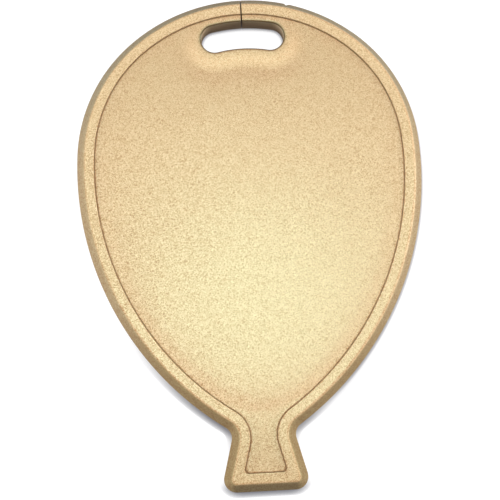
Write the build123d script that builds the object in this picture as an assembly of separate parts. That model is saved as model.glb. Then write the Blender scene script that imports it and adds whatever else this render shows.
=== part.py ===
"""Balloon weight: a flat balloon-shaped plaque moulded in two halves around a steel ballast plate.

It lies on its back with the face up. +X is to the right of the face, +Y towards the ribbon slot, +Z out of
the face. The origin is below the middle of the plaque, on the surface that it lies on. Millimetres, degrees.
"""

import os
from math import acos, atan2, cos, degrees, radians, sin, tan

from build123d import *

# Outline at the seam, where the plaque is widest: three tangent arcs a side, then the neck and the tail
CROWN_RADIUS = 27.9
CROWN_HALF_ANGLE = 38.6
SHOULDER_RADIUS = 24.5
SHOULDER_END_ANGLE = 85.4
FLANK_RADIUS = 47.5
NECK_WIDTH = 9.3
NECK_FILLET = 1.8
TAIL_LENGTH = 9.1
TAIL_FLARE_ANGLE = 14.6
TAIL_CORNER_RADIUS = 2.0

# Edge: both halves slope in from the seam to a flat rim
FRONT_HEIGHT = 2.5
BACK_HEIGHT = 2.5
BEVEL_RUN = 1.25
RIM_EDGE_RADIUS = 0.4

# Face: a fine step down inside the rim, then a low cushion that rises to a level middle
RIM_WIDTH = 1.62
STEP_DEPTH = 0.2
FIELD_CORNER_RADIUS = 0.6
CUSHION_LAND = 0.15
CUSHION_WIDTH = 4.5
CUSHION_RISE = 0.11
CUSHION_SECTIONS = 4

# Back: the rim stands a little proud, so that the plaque lies on it
BACK_RECESS_DEPTH = 0.3

# Ribbon slot, following the crown, with a low collar round it and a slit to thread the ribbon through
SLOT_INSET = 6.12
SLOT_LENGTH = 13.05
SLOT_HEIGHT = 4.25
COLLAR_WIDTH = 2.6
COLLAR_TOP_WIDTH = 1.0
COLLAR_RISE = 0.1
HOLLOW_RUN = 2.5
SLIT_WIDTH = 0.22

# Gate mark: a small nick in the crown's edge
NICK_ANGLE = 15.0
NICK_WIDTH = 0.85
NICK_DEPTH = 0.5

# Ballast plate and the pocket that holds it between the halves
POCKET_INSET = 3.2
POCKET_CORNER_RADIUS = 2.0
SLOT_WALL = 2.0
NECK_WALL = 4.0
PLATE_THICKNESS = 2.0
PLATE_SIDE_CLEARANCE = 0.15
PLATE_TOP_CLEARANCE = 0.1
BACK_WALL = 1.0

# Joint between the halves: a tongue round the seam and three pegs
TONGUE_INSET = 1.1
TONGUE_WIDTH = 0.6
TONGUE_HEIGHT = 0.5
PEG_DIAMETER = 2.2
PEG_HEIGHT = 1.0
PEG_SLOT_GAP = 2.4
TAIL_PEG_RISE = 4.0
JOINT_CLEARANCE = 0.05

# Heights, how far a cut runs past the face it opens on, and how near two places count as one
SEAM_Z = BACK_HEIGHT
FACE_Z = BACK_HEIGHT + FRONT_HEIGHT
FIELD_Z = FACE_Z - STEP_DEPTH
POCKET_FLOOR_Z = BACK_RECESS_DEPTH + BACK_WALL
POCKET_ROOF_Z = POCKET_FLOOR_Z + PLATE_THICKNESS + PLATE_TOP_CLEARANCE
CUT_MARGIN = 1.0
SAME_PLACE = 0.001


def bearing(angle):
    """Unit vector at an angle from +Y towards +X."""
    return Vector(sin(radians(angle)), cos(radians(angle)))


# Arc centres and the plaque's ends, first from the crown's centre, then moved to the middle of the length
shoulder_offset = (CROWN_RADIUS - SHOULDER_RADIUS) * bearing(CROWN_HALF_ANGLE)
flank_offset = shoulder_offset + (SHOULDER_RADIUS - FLANK_RADIUS) * bearing(SHOULDER_END_ANGLE)
neck_end_angle = degrees(acos((NECK_WIDTH / 2 - flank_offset.X) / FLANK_RADIUS))
neck_drop = FLANK_RADIUS * sin(radians(neck_end_angle)) - flank_offset.Y
tail_drop = neck_drop + TAIL_LENGTH

CROWN_CENTRE = Vector(0, (tail_drop - CROWN_RADIUS) / 2)
SHOULDER_CENTRE = CROWN_CENTRE + shoulder_offset
FLANK_CENTRE = CROWN_CENTRE + flank_offset
CROWN_Y = CROWN_CENTRE.Y + CROWN_RADIUS
NECK_Y = CROWN_CENTRE.Y - neck_drop
TAIL_Y = CROWN_CENTRE.Y - tail_drop

FIELD_INSET = BEVEL_RUN + RIM_WIDTH
SLOT_ARC_RADIUS = CROWN_RADIUS - SLOT_INSET
SLOT_HALF_ANGLE = degrees(atan2((SLOT_LENGTH - SLOT_HEIGHT) / 2, SLOT_ARC_RADIUS))
SLOT_LOW_Y = CROWN_CENTRE.Y + SLOT_ARC_RADIUS * cos(radians(SLOT_HALF_ANGLE)) - SLOT_HEIGHT / 2


def body_arcs(inset, flank_end_angle):
    """The crown, and on each side the shoulder and the flank down to an angle below level, all set in evenly."""
    shoulder_start = 90 - SHOULDER_END_ANGLE
    crown_start = 90 - CROWN_HALF_ANGLE
    crown = CenterArc(CROWN_CENTRE, CROWN_RADIUS - inset, crown_start, 2 * CROWN_HALF_ANGLE)
    shoulder = CenterArc(SHOULDER_CENTRE, SHOULDER_RADIUS - inset, shoulder_start, crown_start - shoulder_start)
    flank = CenterArc(FLANK_CENTRE, FLANK_RADIUS - inset, -flank_end_angle, flank_end_angle + shoulder_start)
    side = [shoulder, flank]
    return [crown, *side, *[mirror(arc, about=Plane.YZ) for arc in side]]


def balloon_outline():
    """The plaque's outline at the seam."""
    neck = Vector(NECK_WIDTH / 2, NECK_Y)
    tail = Vector(neck.X + TAIL_LENGTH * tan(radians(TAIL_FLARE_ANGLE)), TAIL_Y)
    flare = Line(neck, tail)
    bottom = Line(tail, Vector(-tail.X, tail.Y))
    sharp = make_face([*body_arcs(0, neck_end_angle), flare, mirror(flare, about=Plane.YZ), bottom])
    corners = sharp.vertices().sort_by(Axis.Y)
    neck_rounded = fillet(corners[2:4], NECK_FILLET)
    return fillet(neck_rounded.vertices().sort_by(Axis.Y)[:2], TAIL_CORNER_RADIUS)


def egg(inset):
    """The balloon's body without its tail, set in evenly: the flanks run on until they meet."""
    meeting_angle = degrees(acos(-FLANK_CENTRE.X / (FLANK_RADIUS - inset)))
    return make_face(body_arcs(inset, meeting_angle))


def slot_outline(margin=0.0):
    """The ribbon slot, an arc slot that follows the crown, grown by a margin."""
    centre_line = CenterArc(CROWN_CENTRE, SLOT_ARC_RADIUS, 90 - SLOT_HALF_ANGLE, 2 * SLOT_HALF_ANGLE)
    return SlotArc(centre_line, SLOT_HEIGHT + 2 * margin)


def at_height(sketch, z):
    """A sketch lifted to a height."""
    return Pos(0, 0, z) * sketch


def prism(sketch, low, high):
    """A straight extrusion between two heights."""
    return extrude(at_height(sketch, low), high - low)


OUTLINE = balloon_outline()


def field_outline():
    """The line inside the rim, with the tail's corners eased."""
    inner = offset(OUTLINE, -FIELD_INSET)
    return fillet(inner.vertices().sort_by(Axis.Y)[:2], FIELD_CORNER_RADIUS)


def half_blank(height):
    """One half without its details, standing on the seam, with its sloping edge and its eased rim."""
    tall = prism(OUTLINE, -CUT_MARGIN, height)
    face = tall.faces().sort_by(Axis.Z)[-1]
    sloped = chamfer(face.edges(), BEVEL_RUN, height, reference=face)
    blank = split(sloped, bisect_by=Plane.XY)
    return fillet(blank.faces().sort_by(Axis.Z)[-1].edges(), RIM_EDGE_RADIUS)


def collar():
    """The low collar round the slot, rooted in the field."""
    foot = at_height(slot_outline(COLLAR_WIDTH), FIELD_Z)
    top = at_height(slot_outline(COLLAR_TOP_WIDTH), FIELD_Z + COLLAR_RISE)
    return prism(slot_outline(COLLAR_WIDTH), FIELD_Z - STEP_DEPTH, FIELD_Z) + loft([foot, top], ruled=True)


def hollow():
    """The space that the cushion leaves free round the collar."""
    low = at_height(slot_outline(COLLAR_WIDTH), FIELD_Z)
    high = at_height(slot_outline(COLLAR_WIDTH + 2 * HOLLOW_RUN), FIELD_Z + 2 * CUSHION_RISE)
    return loft([low, high], ruled=True)


def cushion():
    """The face's cushion: steepest at the step, level in the middle, rooted in the field."""
    sections = [at_height(egg(FIELD_INSET + CUSHION_LAND), FIELD_Z - STEP_DEPTH)]
    for i in range(CUSHION_SECTIONS + 1):
        share = i / CUSHION_SECTIONS
        rise = CUSHION_RISE * (1 - (1 - share) ** 3)
        sections.append(at_height(egg(FIELD_INSET + CUSHION_LAND + share * CUSHION_WIDTH), FIELD_Z + rise))
    return loft(sections, ruled=True) - hollow()


def pocket_outline(clearance=0.0):
    """The ballast pocket: the body's egg cut off level below the slot and above the neck, with eased corners."""
    top = SLOT_LOW_Y - SLOT_WALL - clearance
    bottom = NECK_Y + NECK_WALL + clearance
    band = Pos(0, (top + bottom) / 2) * Rectangle(2 * FLANK_RADIUS, top - bottom)
    sharp = egg(POCKET_INSET + clearance) & band
    ends = [v for v in sharp.vertices() if min(abs(v.Y - top), abs(v.Y - bottom)) < SAME_PLACE]
    return fillet(ends, POCKET_CORNER_RADIUS - clearance)


def seam_ring(clearance=0.0):
    """The tongue's plan, a band that runs round inside the outline, grown by a clearance."""
    outer = offset(OUTLINE, -(TONGUE_INSET - clearance))
    inner = offset(OUTLINE, -(TONGUE_INSET + TONGUE_WIDTH + clearance))
    return outer - inner


def peg_places():
    """One peg in the solid ground at each end of the slot, and one in the tail."""
    reach = SLOT_LENGTH / 2 + PEG_SLOT_GAP
    bow = SLOT_ARC_RADIUS * cos(atan2(reach, SLOT_ARC_RADIUS))
    head_y = CROWN_CENTRE.Y + bow
    return [(reach, head_y), (-reach, head_y), (0, TAIL_Y + TAIL_PEG_RISE)]


def pegs(clearance=0.0):
    """The three pegs, or their sockets with a clearance, standing on the seam."""
    plan = Circle(PEG_DIAMETER / 2 + clearance)
    return [prism(Pos(x, y) * plan, SEAM_Z, SEAM_Z + PEG_HEIGHT + clearance) for x, y in peg_places()]


def through_cuts():
    """What goes through both halves: the slot, the slit above it and the gate mark."""
    low = -CUT_MARGIN
    high = FACE_Z + CUT_MARGIN
    slot = prism(slot_outline(), low, high)
    slit_length = SLOT_INSET + CUT_MARGIN
    slit_plan = Pos(0, CROWN_Y - SLOT_INSET + slit_length / 2) * Rectangle(SLIT_WIDTH, slit_length)
    slit = prism(slit_plan, low, high)
    depth_past_edge = 2 * NICK_DEPTH
    half_mouth = NICK_WIDTH / 2 * depth_past_edge / NICK_DEPTH
    notch = make_face(Polyline((-half_mouth, NICK_DEPTH), (half_mouth, NICK_DEPTH), (0, -NICK_DEPTH), close=True))
    nick_plan = Pos(CROWN_CENTRE + CROWN_RADIUS * bearing(NICK_ANGLE)) * Rot(0, 0, -NICK_ANGLE) * notch
    nick = prism(nick_plan, low, high)
    return [slot, slit, nick]


def front_shell():
    """The half with the face: rim, step, cushion and slot outside, pocket, groove and sockets inside."""
    shell = at_height(half_blank(FRONT_HEIGHT), SEAM_Z)
    shell -= prism(field_outline(), FIELD_Z, FACE_Z + CUT_MARGIN)
    shell += cushion()
    shell += collar()
    shell -= prism(pocket_outline(), SEAM_Z - CUT_MARGIN, POCKET_ROOF_Z)
    shell -= prism(seam_ring(JOINT_CLEARANCE), SEAM_Z - CUT_MARGIN, SEAM_Z + TONGUE_HEIGHT + JOINT_CLEARANCE)
    shell -= pegs(JOINT_CLEARANCE)
    for cut in through_cuts():
        shell -= cut
    return shell


def back_shell():
    """The half that it lies on: a plain recess outside, pocket, tongue and pegs inside."""
    shell = at_height(mirror(half_blank(BACK_HEIGHT), about=Plane.XY), SEAM_Z)
    shell -= prism(field_outline(), -CUT_MARGIN, BACK_RECESS_DEPTH)
    shell -= prism(pocket_outline(), POCKET_FLOOR_Z, SEAM_Z + CUT_MARGIN)
    shell += prism(seam_ring(), SEAM_Z, SEAM_Z + TONGUE_HEIGHT)
    shell += pegs()
    for cut in through_cuts():
        shell -= cut
    return shell


def ballast_plate():
    """The steel blank that gives the weight its mass, lying on the pocket's floor."""
    return prism(pocket_outline(PLATE_SIDE_CLEARANCE), POCKET_FLOOR_Z, POCKET_FLOOR_Z + PLATE_THICKNESS)


os.makedirs("parts", exist_ok=True)
for piece in (front_shell, back_shell, ballast_plate):
    export_step(piece(), f"parts/{piece.__name__}.step")
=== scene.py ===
"""Balloon weight: the two painted mouldings, the steel plate inside them and a plain studio.

The mouldings are raised from a flat plan by one Geometry Nodes tree, which gives every point its height from
its distance to the outline, to the body's edge and to the ribbon slot. All is in metres, in the part's frame.
"""

from math import acos, asin, atan2, ceil, cos, pi, radians, sin

import bmesh
import bpy
import numpy as np
from mathutils import Matrix, Vector
from mathutils.geometry import delaunay_2d_cdt


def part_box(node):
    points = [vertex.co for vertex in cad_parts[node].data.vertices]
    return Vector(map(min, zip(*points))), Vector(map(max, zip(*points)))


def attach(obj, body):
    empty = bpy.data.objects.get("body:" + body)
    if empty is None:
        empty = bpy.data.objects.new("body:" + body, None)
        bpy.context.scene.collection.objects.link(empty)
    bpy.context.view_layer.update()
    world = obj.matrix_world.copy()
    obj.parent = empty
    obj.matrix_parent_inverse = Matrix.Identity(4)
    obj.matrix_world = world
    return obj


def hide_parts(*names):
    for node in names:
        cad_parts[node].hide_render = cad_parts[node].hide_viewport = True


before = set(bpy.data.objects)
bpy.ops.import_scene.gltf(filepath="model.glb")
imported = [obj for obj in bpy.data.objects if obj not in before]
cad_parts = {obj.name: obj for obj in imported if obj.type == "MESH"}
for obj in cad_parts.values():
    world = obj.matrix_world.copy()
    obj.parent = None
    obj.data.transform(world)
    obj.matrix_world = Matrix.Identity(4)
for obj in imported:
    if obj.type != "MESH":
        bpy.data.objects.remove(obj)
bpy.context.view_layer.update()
BACK_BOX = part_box("back_shell")
FRONT_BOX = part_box("front_shell")

bl_info = {
    "name": "Balloon weight",
    "version": (1, 0, 0),
    "blender": (4, 5, 0),
    "location": "3D View > Sidebar > Balloon weight",
    "description": "Builds a gold balloon weight around its packed frame",
    "category": "Object",
}

MM = 0.001


def length(name, description, millimetres):
    """A length that a user may change."""
    return bpy.props.FloatProperty(
        name=name, description=description, default=millimetres * MM, min=0.0, precision=5, unit="LENGTH"
    )


def angle(name, description, degrees):
    """An angle that a user may change."""
    return bpy.props.FloatProperty(
        name=name, description=description, default=radians(degrees), subtype="ANGLE"
    )


def amount(name, description, default, unit="NONE"):
    """A number that a user may change."""
    return bpy.props.FloatProperty(
        name=name, description=description, default=default, min=0.0, precision=4, unit=unit
    )


def fraction(name, description, default):
    """A share from 0 to 1 that a user may change."""
    return bpy.props.FloatProperty(
        name=name, description=description, default=default, min=0.0, max=1.0, precision=4, subtype="FACTOR"
    )


def colour(name, description, default):
    """A colour that a user may change."""
    return bpy.props.FloatVectorProperty(
        name=name, description=description, default=default, size=3, min=0.0, max=1.0, subtype="COLOR"
    )


class OutlineSizes(bpy.types.PropertyGroup):
    """The plaque's outline at the seam."""

    crown_radius: length("Crown radius", "Arc over the ribbon slot", 27.9)
    crown_half_angle: angle("Crown half angle", "Half of the crown's arc", 38.6)
    shoulder_radius: length("Shoulder radius", "Arc between crown and flank", 24.5)
    shoulder_end_angle: angle("Shoulder end", "Bearing at which the flank starts", 85.4)
    flank_radius: length("Flank radius", "Long arc down to the neck", 47.5)
    neck_width: length("Neck width", "Width where the flanks meet the tail", 9.3)
    neck_fillet: length("Neck fillet", "Rounding between flank and tail", 1.8)
    tail_length: length("Tail length", "Neck to the tail's end", 9.1)
    tail_flare: angle("Tail flare", "Slope of the tail's sides", 14.6)
    tail_corner: length("Tail corner", "Rounding of the tail's corners", 2.0)
    field_corner: length("Field corner", "Least rounding of the line inside the tail", 0.6)
    nick_bearing: angle("Nick bearing", "Place of the gate mark on the crown", 15.0)
    nick_width: length("Nick width", "Width of the gate mark", 0.85)
    nick_depth: length("Nick depth", "Depth of the gate mark", 0.5)


class SectionSizes(bpy.types.PropertyGroup):
    """The mouldings' section from the seam to the middle."""

    bevel_run: length("Bevel run", "How far the edge slopes in", 1.25)
    bevel_blend: length("Bevel blend", "Softness of the rim's outer edge", 0.6)
    rim_width: length("Rim width", "Flat rim, from the bevel to the line", 1.62)
    seam_ease: length("Seam ease", "Easing of each half at the seam", 0.08)
    step_depth: length("Step depth", "Drop from the rim to the field", 0.2)
    step_width: length("Step width", "Run of that drop", 0.16)
    line_depth: length("Line depth", "Fine groove at the step's foot", 0.12)
    line_width: length("Line width", "Width of that groove", 0.32)
    cushion_land: length("Cushion land", "Level strip inside the line", 0.15)
    cushion_width: length("Cushion width", "Run of the cushion's rounded edge", 4.5)
    cushion_rise: length("Cushion rise", "Rise from the line to the middle of the face", 0.068)
    back_recess: length("Back recess", "Drop from the rim to the field on the back", 0.3)


class SlotSizes(bpy.types.PropertyGroup):
    """The ribbon slot and the slit that opens it."""

    inset: length("Slot inset", "Crown to the slot's middle line", 6.12)
    span: length("Slot length", "Length of the slot", 13.05)
    height: length("Slot height", "Height of the slot", 4.25)
    lip: length("Slot lip", "Rounding of the slot's edge", 0.26)
    collar_width: length("Collar width", "Low collar round the slot", 3.2)
    collar_rise: length("Collar rise", "Height of that collar", 0.09)
    dip: length("Slot dip", "How far the face sinks round that collar", 0.06)
    slit_width: length("Slit width", "Width of the slit at the face and at the slot", 0.22)
    slit_mouth: length("Slit mouth", "Width of the slit under the face, at the crown's edge", 0.02)
    slit_foot: length("Slit foot", "Width of the slit at the back, at the slot", 0.05)


class InsideSizes(bpy.types.PropertyGroup):
    """What the mouldings hold and how they join."""

    pocket_inset: length("Pocket inset", "Outline to the pocket's side", 3.2)
    pocket_corner: length("Pocket corner", "Rounding of the pocket's corners", 2.0)
    slot_wall: length("Slot wall", "Wall between slot and pocket", 2.0)
    neck_wall: length("Neck wall", "Wall between neck and pocket", 4.0)
    pocket_floor: length("Pocket floor", "Height of the pocket's floor", 1.3)
    pocket_roof: length("Pocket roof", "Height of the pocket's roof", 3.4)
    tongue_inset: length("Tongue inset", "Outline to the tongue", 1.1)
    tongue_width: length("Tongue width", "Width of the tongue", 0.6)
    tongue_height: length("Tongue height", "Height of the tongue over the seam", 0.5)
    peg_radius: length("Peg radius", "Radius of the pegs", 1.1)
    peg_height: length("Peg height", "Height of the pegs over the seam", 1.0)
    peg_gap: length("Peg gap", "Slot's end to a peg's middle", 2.4)
    tail_peg_rise: length("Tail peg rise", "Tail's end to the lowest peg", 4.0)
    clearance: length("Joint clearance", "Room round tongue and pegs", 0.05)


class PaintFinish(bpy.types.PropertyGroup):
    """The gold paint, the hardly painted walls with painted shade, and the steel.

    Painted highlights add a pale colour to the flakes. Painted shade, and thin paint on the sloping edge,
    multiply them by a dull colour.
    """

    gold: colour("Gold", "The paint's main colour", (0.775, 0.498, 0.276))
    pale_flake: colour("Pale flake", "Brightest flakes", (0.955, 0.70, 0.428))
    dark_flake: colour("Dark flake", "Darkest flakes", (0.485, 0.20, 0.07))
    sheen: colour("Sheen", "Colour that the paint takes on in a highlight", (0.52, 0.84, 0.53))
    # Painted shade: darkens the fine line's groove and the slot's lip, where shade falls.
    line_and_lip_painted_shade: colour("Line brown", "Painted shade in the fine line and at the slot's lip", (0.10, 0.07, 0.03))
    # Painted highlight: a paler band just under the slot, where the face turns to the light.
    slot_painted_highlight: colour("Slot pale", "Painted highlight under the slot", (0.18, 0.105, 0.06))
    # Painted shade: the strip over the slot, turned from the light, made duller.
    slot_painted_shade: colour("Slot dull", "Painted shade over the slot", (0.99, 0.98, 0.98))
    # Painted highlight along the rim's rounded outer edge.
    rim_painted_highlight: colour("Rim pale", "Painted highlight on the rim", (0.06, 0.065, 0.035))
    # Painted light: lifts the shade of the cushion's edge inside the line on the flanks.
    band_painted_light: colour("Band pale", "Painted light inside the line, on the flanks", (0.085, 0.07, 0.042))
    # Painted shade: the face inside the line darker towards the crown.
    crown_painted_shade: colour("Crown dull", "Painted shade inside the line, at the crown", (0.90, 0.89, 0.87))
    # Painted shade: the tail darker.
    tail_painted_shade: colour("Tail dull", "Painted shade on the tail", (0.90, 0.90, 0.88))
    # Thin paint and painted shade: the sloping edge darker all round.
    edge_thin_paint_and_shade: colour("Edge thin paint and shade", "Thin paint and painted shade on the sloping edge", (0.62, 0.67, 0.66))
    # Painted shade: the sloping edge greyer and darker towards the crown.
    crown_edge_painted_shade: colour("Crown edge shade", "Painted shade there, towards the crown", (0.78, 0.86, 0.95))
    # Painted shade: the sloping edge browner and darker towards the tail.
    tail_edge_painted_shade: colour("Tail edge shade", "Painted shade there, towards the tail", (0.80, 0.76, 0.64))
    # Thin paint and painted shade: the walls of slot and slit darker than the gold.
    wall_thin_paint_and_shade: colour("Wall olive", "Walls of slot and slit, hardly painted, with painted shade", (0.52, 0.375, 0.235))
    steel: colour("Steel", "Plain sheet steel", (0.56, 0.56, 0.58))
    flake: length("Flake size", "Size of the paint's flakes", 0.11)
    roughness: fraction("Roughness", "Roughness of the paint", 0.22)


class StudioSetup(bpy.types.PropertyGroup):
    """Floor, light and camera."""

    floor: colour("Floor", "Colour of the floor", (0.25, 0.25, 0.26))
    floor_glow: fraction("Floor glow", "White that the floor adds for the camera", 0.9)
    shade: colour("Shade", "Colour left where no white is added", (0.010, 0.010, 0.035))
    floor_shade: length("Floor shade", "How near an upright wall shades that white", 0.6)
    edge_shade: length("Edge shade", "How near the sloping edge shades it beside the tail", 2.05)
    side_shade: length("Side shade", "How near the sloping edge shades it on the right", 1.62)
    sky: amount("Sky", "Strength of the light from all round", 0.082)
    key_power: amount("Key power", "Power of the lamp overhead", 0.62, "POWER")
    key_size: length("Key size", "Side of the lamp overhead", 110.0)
    back_power: amount("Back power", "Power of the wide lamp beyond the crown", 1.38, "POWER")
    back_width: length("Back width", "Width of the wide lamp", 400.0)
    back_depth: length("Back depth", "Depth of the wide lamp", 246.0)
    left_power: amount("Left power", "Power of the low lamp on the left", 2.0, "POWER")
    right_power: amount("Right power", "Power of the low lamp on the right", 2.35, "POWER")
    rim_power: amount("Rim power", "Power of each small lamp that lights the rim's edge", 0.1, "POWER")
    rim_size: length("Rim lamp size", "Side of those small lamps", 60.0)
    side_width: length("Side width", "Width of both low lamps", 350.0)
    side_height: length("Side height", "Height of both low lamps", 140.0)
    camera_distance: length("Camera distance", "Camera to the face", 225.0)
    lens: amount("Lens", "Focal length", 106.3, "CAMERA")


class BalloonWeight(bpy.types.PropertyGroup):
    """All settings of the balloon weight."""

    outline: bpy.props.PointerProperty(name="Outline", type=OutlineSizes)
    section: bpy.props.PointerProperty(name="Section", type=SectionSizes)
    slot: bpy.props.PointerProperty(name="Slot", type=SlotSizes)
    inside: bpy.props.PointerProperty(name="Inside", type=InsideSizes)
    paint: bpy.props.PointerProperty(name="Paint", type=PaintFinish)
    studio: bpy.props.PointerProperty(name="Studio", type=StudioSetup)


class Value:
    """A socket of a node tree. Arithmetic on it adds Math nodes to that tree."""

    def __init__(self, graph, socket):
        self.graph = graph
        self.socket = socket

    def __add__(self, other):
        return self.graph.math("ADD", self, other)

    def __sub__(self, other):
        return self.graph.math("SUBTRACT", self, other)

    def __rsub__(self, other):
        return self.graph.math("SUBTRACT", other, self)

    def __mul__(self, other):
        return self.graph.math("MULTIPLY", self, other)

    def __truediv__(self, other):
        return self.graph.math("DIVIDE", self, other)

    __radd__ = __add__
    __rmul__ = __mul__


class Graph:
    """A node tree that is written as expressions."""

    def __init__(self, tree):
        self.tree = tree

    def add(self, kind, settings=None, sockets=None, output=0):
        """Adds a node with its settings and its sockets' values or links. Returns one of its outputs."""
        node = self.tree.nodes.new(kind)
        for name, value in (settings or {}).items():
            setattr(node, name, value)
        self.fill(node, sockets or {})
        return Value(self, node.outputs[output])

    def fill(self, node, sockets):
        """Links what varies to a node's sockets, and sets the rest on them."""
        for name, value in sockets.items():
            if isinstance(value, Value):
                self.tree.links.new(value.socket, node.inputs[name])
            else:
                node.inputs[name].default_value = value

    def math(self, operation, *operands):
        """A Math node."""
        return self.add("ShaderNodeMath", {"operation": operation}, dict(enumerate(operands)))

    def ease(self, value, start, end, change="SMOOTHSTEP"):
        """0 before start and 1 after end. The change between them is soft, unless another is named."""
        sockets = {"Value": value, "From Min": start, "From Max": end}
        return self.add("ShaderNodeMapRange", {"interpolation_type": change}, sockets)

    def share(self, value, start, end):
        """0 before start and 1 after end, with an even change between them."""
        return self.ease(value, start, end, "LINEAR")

    def blend(self, factor, first, second, kind="MIX"):
        """A colour between two colours, or between the first and both multiplied or added."""
        settings = {"data_type": "RGBA", "blend_type": kind, "clamp_result": True}
        return self.add("ShaderNodeMix", settings, {0: factor, 6: first, 7: second}, 2)

    def place(self):
        """Where a point of the surface lies in its object."""
        return self.add("ShaderNodeTexCoord", output="Object")

    def axis(self, vector, name):
        """The X, Y or Z of a vector."""
        return self.add("ShaderNodeSeparateXYZ", sockets={"Vector": vector}, output=name)

    def vector(self, operation, *operands):
        """A Vector Math node."""
        return self.add("ShaderNodeVectorMath", {"operation": operation}, dict(enumerate(operands)))

    def noise(self, place, scale, detail):
        """Soft noise."""
        sockets = {"Vector": place, "Scale": scale, "Detail": detail}
        return self.add("ShaderNodeTexNoise", sockets=sockets, output="Fac")

    def node(self, kind):
        """The tree's first node of a kind."""
        return next(node for node in self.tree.nodes if node.type == kind)


MIRROR = np.array([-1.0, 1.0])


def bearing(turn):
    """Unit vectors at bearings from +Y towards +X."""
    return np.stack([np.sin(turn), np.cos(turn)], -1)


def arc(centre, radius, turns):
    """Points round a centre at such bearings."""
    return centre + radius * bearing(turns)


def bearing_of(vector):
    """The bearing of a vector."""
    return atan2(vector[0], vector[1])


def to_right(points):
    """Points with those on the left mirrored to the right."""
    return np.stack([np.abs(points[:, 0]), points[:, 1]], -1)


def inside_loop(points, loop):
    """True for each point that lies inside a closed loop."""
    x, y = points[:, :1], points[:, 1:]
    x0, y0 = loop[:, 0], loop[:, 1]
    x1, y1 = np.roll(x0, -1), np.roll(y0, -1)
    rising = (y0 > y) != (y1 > y)
    run = np.where(y1 == y0, 1.0, y1 - y0)
    crossed = rising & (x < x0 + (y - y0) * (x1 - x0) / run)
    return crossed.sum(1) % 2 == 1


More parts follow.
